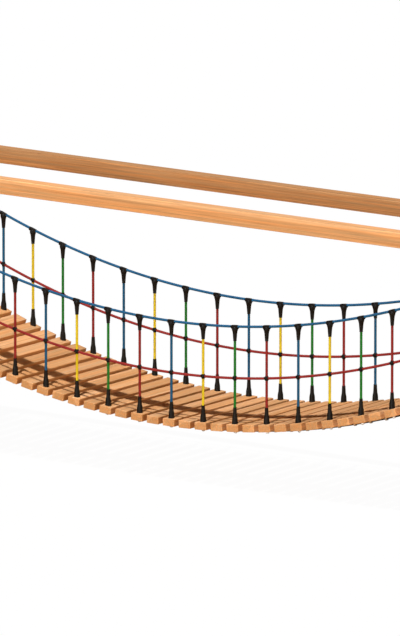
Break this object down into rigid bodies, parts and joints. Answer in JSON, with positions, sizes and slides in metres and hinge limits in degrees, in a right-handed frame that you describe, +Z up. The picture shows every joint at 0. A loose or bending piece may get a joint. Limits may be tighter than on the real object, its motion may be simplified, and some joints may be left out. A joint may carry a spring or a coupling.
{
  "type": "rope suspension footbridge",
  "caption": "Playground footbridge: a sagging plank deck with coloured rope railings, hung between square timber posts that carry two long overhead beams.",
  "frame": {"origin": "on the ground under the middle of the bridge: the centre of the bounding box's bottom face", "axes": "+X along the bridge to the picture's lower right, +Y across it to the far railing, +Z up"},
  "size_m": [4.9648, 1.07, 2.049],
  "materials": {
    "frame_timber": "planed softwood with lengthwise grain, oiled, satin",
    "deck_timber": "planed softwood plank with end grain, satin",
    "blue_rope": "twisted synthetic rope, matt",
    "red_rope": "twisted synthetic rope, matt",
    "yellow_rope": "twisted synthetic rope, matt",
    "green_rope": "twisted synthetic rope, matt",
    "bearer_rope": "twisted synthetic rope, matt",
    "black_fitting": "moulded plastic connector, fine texture",
    "zinc_fixing": "zinc-plated bolts, plates and ferrules, satin"
  },
  "bodies": {
    "root": {"post_near_left": "frame_timber", "post_near_right": "frame_timber", "post_far_left": "frame_timber", "post_far_right": "frame_timber", "top_beam_near": "frame_timber", "top_beam_far": "frame_timber", "sill_left": "frame_timber", "sill_right": "frame_timber", "plank_01": "deck_timber", "plank_02": "deck_timber", "plank_03": "deck_timber", "plank_04": "deck_timber", "plank_05": "deck_timber", "plank_06": "deck_timber", "plank_07": "deck_timber", "plank_08": "deck_timber", "plank_09": "deck_timber", "plank_10": "deck_timber", "plank_11": "deck_timber", "plank_12": "deck_timber", "plank_13": "deck_timber", "plank_14": "deck_timber", "plank_15": "deck_timber", "plank_16": "deck_timber", "plank_17": "deck_timber", "plank_18": "deck_timber", "plank_19": "deck_timber", "plank_20": "deck_timber", "plank_21": "deck_timber", "plank_22": "deck_timber", "plank_23": "deck_timber", "plank_24": "deck_timber", "plank_25": "deck_timber", "plank_26": "deck_timber", "plank_27": "deck_timber", "plank_28": "deck_timber", "plank_29": "deck_timber", "plank_30": "deck_timber", "plank_31": "deck_timber", "plank_32": "deck_timber", "plank_33": "deck_timber", "bearer_rope_near": "bearer_rope", "handrail_rope_near": "blue_rope", "railing_net_near": "red_rope", "bearer_rope_far": "bearer_rope", "handrail_rope_far": "blue_rope", "railing_net_far": "red_rope"}
  },
  "joints": []
}
